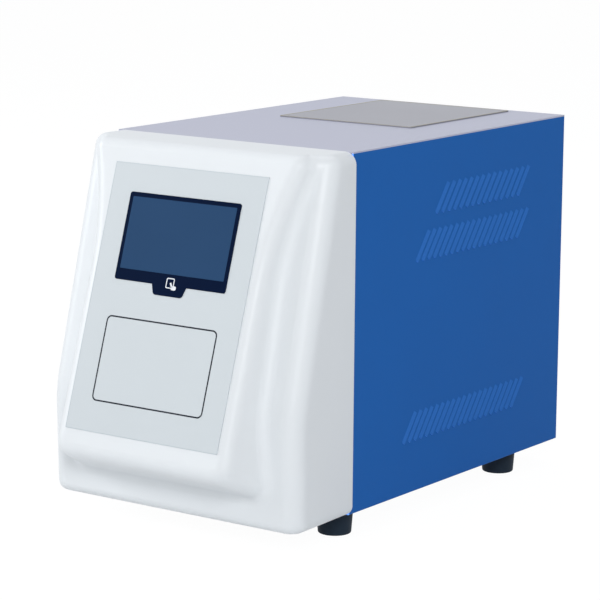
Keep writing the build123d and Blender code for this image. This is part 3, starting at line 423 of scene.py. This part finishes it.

# %% [markdown]
# The film is a separate sheet, and a fine grey line of painted shade round the pod stands for the
# shadow along its cut rim.

# %% Painted shade along the film rim
FILM_HEIGHT = 207.3
FILM_LOW = 20.3
# Painted shade: a grey line just inside the film's edge.
edge_shade_grey = finish("edge_shade_grey", (188, 197, 203), 0.5, depth=0.001)
film_low, film_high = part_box("front_label")
film_width = (film_high[0] - film_low[0]) / MM
film_edge_shade = card(film_width, FILM_HEIGHT, 0.4, 2)
leave_line(film_edge_shade, 0.45)
thicken(film_edge_shade, INK)
add_piece("film_edge_shade_line", film_edge_shade, pod_matrix(0, FILM_LOW + FILM_HEIGHT / 2, film_top), edge_shade_grey)
print("film", round(film_width, 1), "mm wide")

# %% [markdown]
# The laminated plate on the cover has an olive gold line printed round its rim.

# %% Plate rim
low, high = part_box("top_plate")
olive_ink = finish("olive_ink", (150, 142, 96), 0.4, depth=0.001)
rim = card((high[0] - low[0]) / MM, (high[1] - low[1]) / MM, 1.5, 4)
leave_line(rim, 1.1)
thicken(rim, INK)
plate_centre = Matrix.Translation(((low[0] + high[0]) / 2, (low[1] + high[1]) / 2, high[2]))
add_piece("plate_rim_line", rim, plate_centre @ Matrix.Scale(MM, 4), olive_ink)

# %% [markdown]
# Pan head screws have a cross in the head for the driver. Drawn as a dark mark it would look flat,
# so it is cut: a bar is doubled into a cross, one cross is set at each head, and an exact boolean
# takes them all out of a merged copy of the screws, which then stands for the plain ones.

# %% Screw crosses
REAR_Y = 207.506
SEAM_Y = -104.494
CROSS_BAR = (3.6, 0.7, 2.2)
SCREW_LINE = 105.3
FAN_SPOT = (-48, 210)
FAN_HOLE = 35.75
INLET_Z = 82.0


def cross_cutters(spots, along):
    """Crosses at points in millimetres, sunk along Y for the rear or Z for the underside."""
    cutters = bmesh.new()
    for spot in spots:
        for turn in (45, 135):
            bar = bmesh.ops.create_cube(cutters, size=1)["verts"]
            bmesh.ops.scale(cutters, vec=CROSS_BAR, verts=bar)
            spin = Matrix.Rotation(math.radians(turn), 3, "Z")
            bmesh.ops.rotate(cutters, cent=(0, 0, 0), matrix=spin, verts=bar)
            if along == "Y":
                tip = Matrix.Rotation(math.radians(90), 3, "X")
                bmesh.ops.rotate(cutters, cent=(0, 0, 0), matrix=tip, verts=bar)
            bmesh.ops.translate(cutters, vec=spot, verts=bar)
    bmesh.ops.scale(cutters, vec=(MM, MM, MM), verts=cutters.verts)
    return cutters


def cut_screws(node, spots, along="Y"):
    shape = bmesh.new()
    shape.from_mesh(nodes[node].data)
    bmesh.ops.remove_doubles(shape, verts=shape.verts, dist=1e-6)
    mesh = bpy.data.meshes.new(node + "_crossed")
    shape.to_mesh(mesh)
    shape.free()
    mesh.materials.clear()
    mesh.materials.append(FINISHES["steel_screw"])
    piece = bpy.data.objects.new(node + "_crossed", mesh)
    bpy.context.scene.collection.objects.link(piece)
    cutters = cross_cutters(spots, along)
    cutter_mesh = bpy.data.meshes.new("cross_cutters")
    cutters.to_mesh(cutter_mesh)
    cutters.free()
    cutter = bpy.data.objects.new("cross_cutters", cutter_mesh)
    bpy.context.scene.collection.objects.link(cutter)
    cut = piece.modifiers.new("crosses", "BOOLEAN")
    cut.operation = "DIFFERENCE"
    cut.solver = "EXACT"
    cut.use_self = True
    cut.object = cutter
    graph = bpy.context.evaluated_depsgraph_get()
    finished = bpy.data.meshes.new_from_object(piece.evaluated_get(graph))
    piece.modifiers.remove(cut)
    piece.data = finished
    bpy.data.objects.remove(cutter)
    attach(piece, "case")
    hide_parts(node)
    return len(finished.polygons)


screw_faces = [
    cut_screws("rear_screws", [
        (x, REAR_Y + 1.8, z) for x in (-SCREW_LINE, SCREW_LINE) for z in (54.75, 159.0, 263.25)]),
    cut_screws("fan_screws", [
        (FAN_SPOT[0] + x, REAR_Y + 6.4, FAN_SPOT[1] + z)
        for x in (-FAN_HOLE, FAN_HOLE) for z in (-FAN_HOLE, FAN_HOLE)]),
    cut_screws("inlet_screws", [(x, REAR_Y + 4.8, INLET_Z) for x in (50.0, 90.0)]),
    cut_screws("flange_screws", [
        (x, SEAM_Y + y, 18.2) for x in (-SCREW_LINE, SCREW_LINE) for y in (28.4, 231.96)],
        along="Z"),
]
print("faces of the cut screws", screw_faces)

# %% [markdown]
# A mains rocker has a line for on and a ring for off, which are the same on every make. They are
# thin raised marks, and ride on the rocker, so that they tilt with it.

# %% Rocker marks
THROW = math.radians(22)
ROCKER_X = 70.0
MARK_HEIGHT = 0.1


def rear_matrix(x, y, z, lean=0.0):
    """From a flat drawing in millimetres to a face that looks to the rear and leans up."""
    across = Vector((-1, 0, 0))
    upward = Vector((0, -math.sin(lean), math.cos(lean)))
    outward = Vector((0, math.cos(lean), math.sin(lean)))
    turn = Matrix((across, upward, outward)).transposed().to_4x4()
    return Matrix.Translation(Vector((x, y, z)) * MM) @ turn @ Matrix.Scale(MM, 4)


line = card(0.8, 3.4, 0, 1)
thicken(line, MARK_HEIGHT)
add_piece("rocker_on_line", line, rear_matrix(ROCKER_X, REAR_Y + 2.963, 103.9), white_ink,
          "rocker")
ring = card(3.4, 3.4, 1.69, 8)
leave_line(ring, 0.6)
thicken(ring, MARK_HEIGHT)
add_piece("rocker_off_ring", ring, rear_matrix(ROCKER_X, REAR_Y + 4.33, 97.5, THROW), white_ink,
          "rocker")

# %% [markdown]
# The floor is pale and endless. To the camera, and in what gloss and glass show of it, it glows
# white, so the background is even, while a share of it stays a plain matt surface that can still
# hold the soft shadow under the case.

# %% Floor
GLOW_SHARE = 0.93


def background_seen(tree):
    """One for rays that should meet the white background: from the camera, a gloss or a glass."""
    rays = tree.nodes.new("ShaderNodeLightPath").outputs
    shine = math_node(tree, "MAXIMUM", rays["Is Glossy Ray"], rays["Is Transmission Ray"])
    return math_node(tree, "MAXIMUM", rays["Is Camera Ray"], shine)


def make_floor():
    material = bpy.data.materials.new("studio_floor")
    material.use_nodes = True
    tree = material.node_tree
    tree.nodes.remove(tree.nodes["Principled BSDF"])
    matt = tree.nodes.new("ShaderNodeBsdfDiffuse")
    matt.inputs["Color"].default_value = (0.86, 0.87, 0.88, 1)
    glow = tree.nodes.new("ShaderNodeEmission")
    glow.inputs["Color"].default_value = (1, 1, 1, 1)
    glow.inputs["Strength"].default_value = 1.04
    share = math_node(tree, "MULTIPLY", background_seen(tree), GLOW_SHARE)
    mix = tree.nodes.new("ShaderNodeMixShader")
    tree.links.new(share, mix.inputs["Fac"])
    tree.links.new(matt.outputs[0], mix.inputs[1])
    tree.links.new(glow.outputs[0], mix.inputs[2])
    tree.links.new(mix.outputs[0], tree.nodes["Material Output"].inputs["Surface"])
    shape = bmesh.new()
    bmesh.ops.create_grid(shape, x_segments=1, y_segments=1, size=30)
    mesh = bpy.data.meshes.new("studio_floor")
    shape.to_mesh(mesh)
    shape.free()
    mesh.materials.append(material)
    floor = bpy.data.objects.new("studio_floor", mesh)
    bpy.context.scene.collection.objects.link(floor)


make_floor()

# %% [markdown]
# Product shots use large soft lights: one from the left, one from the front right, which lights
# the pod and the vented side together, and a weak one high above for the cover. The world fills
# what is left, and is brighter where it is only seen.

# %% Lights
FILL = 0.36
SEEN_SHARE = 0.70


def soft_light(name, place, size, power, colour=(1, 1, 1)):
    data = bpy.data.lights.new(name, "AREA")
    data.shape = "DISK"
    data.size = size
    data.energy = power
    data.color = colour
    lamp = bpy.data.objects.new(name, data)
    bpy.context.scene.collection.objects.link(lamp)
    aim = Vector((0, 0, 0.15)) - Vector(place)
    turn = aim.to_track_quat("-Z", "Y").to_matrix().to_4x4()
    lamp.matrix_world = Matrix.Translation(place) @ turn


soft_light("left_light", (-2.7, -1.2, 1.3), 1.6, 44)
soft_light("front_right_light", (1.7, -2.4, 1.5), 0.9, 45)
soft_light("overhead_light", (0.0, 0.6, 2.6), 1.8, 14, (0.96, 0.97, 1.0))

world = bpy.data.worlds.new("studio")
bpy.context.scene.world = world
world.use_nodes = True
backdrop = world.node_tree.nodes["Background"]
backdrop.inputs["Color"].default_value = (0.95, 0.97, 1.0, 1)
seen = math_node(world.node_tree, "MULTIPLY", background_seen(world.node_tree), SEEN_SHARE)
strength = math_node(world.node_tree, "ADD", seen, FILL)
world.node_tree.links.new(strength, backdrop.inputs["Strength"])

# %% [markdown]
# The camera stands where the photographer's did, worked out from the edges of the case: two metres
# off, a little to the right and above, with a long lens and a hair of roll.

# %% Camera
AZIMUTH = math.radians(35.51)
ELEVATION = math.radians(10.63)
ROLL = math.radians(0.45)
TARGET = Vector((0.0649, -0.1045, 0.1811))
DISTANCE = 1.980
FOCAL_PIXELS = 2607
PICTURE_PIXELS = 600
back = Vector((math.sin(AZIMUTH) * math.cos(ELEVATION), -math.cos(AZIMUTH) * math.cos(ELEVATION),
               math.sin(ELEVATION)))
right = Vector((math.cos(AZIMUTH), math.sin(AZIMUTH), 0))
up = back.cross(right)
rolled_right = right * math.cos(ROLL) + up * math.sin(ROLL)
rolled_up = up * math.cos(ROLL) - right * math.sin(ROLL)
lens = bpy.data.cameras.new("photo_camera")
lens.sensor_width = 36
lens.sensor_fit = "HORIZONTAL"
lens.lens = lens.sensor_width * FOCAL_PIXELS / PICTURE_PIXELS
lens.clip_end = 200
camera = bpy.data.objects.new("photo_camera", lens)
bpy.context.scene.collection.objects.link(camera)
turn = Matrix((rolled_right, rolled_up, back)).transposed().to_4x4()
camera.matrix_world = Matrix.Translation(TARGET + back * DISTANCE) @ turn
bpy.context.scene.camera = camera
bpy.context.scene.view_settings.view_transform = "Standard"
